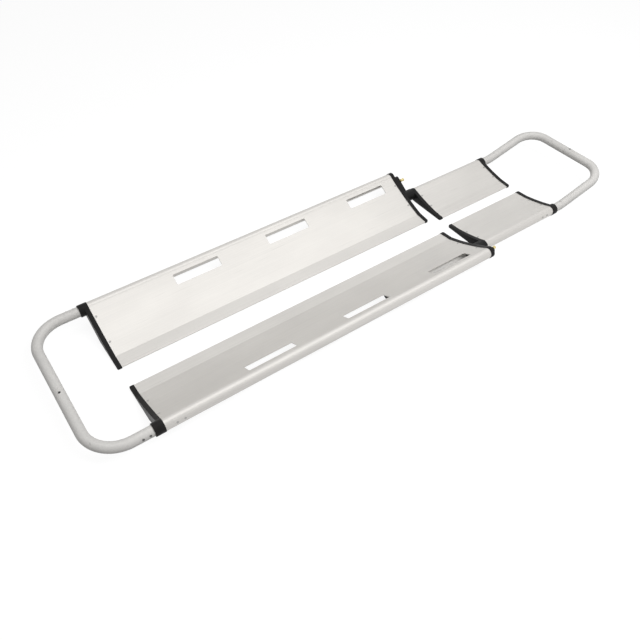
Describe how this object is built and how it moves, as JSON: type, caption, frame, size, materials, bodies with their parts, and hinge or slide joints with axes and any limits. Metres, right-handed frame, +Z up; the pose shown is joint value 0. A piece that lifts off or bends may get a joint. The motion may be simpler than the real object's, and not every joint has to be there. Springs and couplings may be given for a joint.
{
  "type": "scoop stretcher",
  "caption": "Aluminium scoop stretcher in two parting halves, with curved blades, hand slots, end caps, tube bows with sprung couplings and a sliding foot section.",
  "frame": {"origin": "middle of the stretcher's box, on the ground, with the foot section pushed in", "axes": "+X from the head end to the foot end, +Y to the half that holds the spigots, +Z up"},
  "size_m": [1.65, 0.4346, 0.0725],
  "materials": {
    "blade_aluminium": "satin anodised",
    "tube_aluminium": "satin",
    "black_plastic": "fine grain",
    "nylon": "plain",
    "steel": "zinc plated",
    "spring_steel": "bright wire",
    "rivet": "plain",
    "brass": "turned"
  },
  "bodies": {
    "left_main": {"left_panel": "blade_aluminium", "left_head_cap": "black_plastic", "left_foot_guide": "black_plastic", "left_bush": "nylon", "left_lock_spring": "spring_steel", "left_head_tube": "tube_aluminium", "left_main_rivets": "rivet", "head_spigot": "steel", "head_button_spring": "spring_steel", "head_button_seat": "steel"},
    "right_main": {"right_panel": "blade_aluminium", "right_head_cap": "black_plastic", "right_foot_guide": "black_plastic", "right_bush": "nylon", "right_lock_spring": "spring_steel", "right_head_tube": "tube_aluminium", "right_main_rivets": "rivet"},
    "left_foot": {"left_foot_panel": "blade_aluminium", "left_inner_cap": "black_plastic", "left_outer_cap": "black_plastic", "left_foot_tube": "tube_aluminium", "left_tube_plug": "black_plastic", "left_stop_pin": "steel", "left_foot_rivets": "rivet", "foot_spigot": "steel", "foot_button_spring": "spring_steel", "foot_button_seat": "steel"},
    "right_foot": {"right_foot_panel": "blade_aluminium", "right_inner_cap": "black_plastic", "right_outer_cap": "black_plastic", "right_foot_tube": "tube_aluminium", "right_tube_plug": "black_plastic", "right_stop_pin": "steel", "right_foot_rivets": "rivet"},
    "head_button": {"head_button": "steel"},
    "foot_button": {"foot_button": "steel"},
    "left_lock": {"left_lock_bolt": "steel", "left_lock_knob": "brass"},
    "right_lock": {"right_lock_bolt": "steel", "right_lock_knob": "brass"}
  },
  "joints": [
    {"name": "split", "type": "slide", "parent": "left_main", "child": "right_main", "axis": [0, -1, 0], "range_m": [0, 0.3]},
    {"name": "left_extend", "type": "slide", "parent": "left_main", "child": "left_foot", "axis": [1, 0, 0], "range_m": [0, 0.25]},
    {"name": "right_extend", "type": "slide", "parent": "right_main", "child": "right_foot", "axis": [1, 0, 0], "range_m": [0, 0.25]},
    {"name": "head_button_press", "type": "slide", "parent": "left_main", "child": "head_button", "axis": [0, 0, 1], "range_m": [0, 0.0032], "stiffness_N_per_m": 500, "springref_m": 0.006, "deforming": ["head_button_spring"]},
    {"name": "foot_button_press", "type": "slide", "parent": "left_foot", "child": "foot_button", "axis": [0, 0, 1], "range_m": [0, 0.0032], "stiffness_N_per_m": 500, "springref_m": 0.006, "deforming": ["foot_button_spring"]},
    {"name": "left_lock_slide", "type": "slide", "parent": "left_main", "child": "left_lock", "axis": [0, -0.8469, -0.5318], "range_m": [0, 0.006], "stiffness_N_per_m": 600, "springref_m": 0.01},
    {"name": "right_lock_slide", "type": "slide", "parent": "right_main", "child": "right_lock", "axis": [0, 0.8469, -0.5318], "range_m": [0, 0.006], "stiffness_N_per_m": 600, "springref_m": 0.01}
  ],
  "couplings": [
    {"joint": "right_extend", "follows": "left_extend", "ratio": 1}
  ]
}
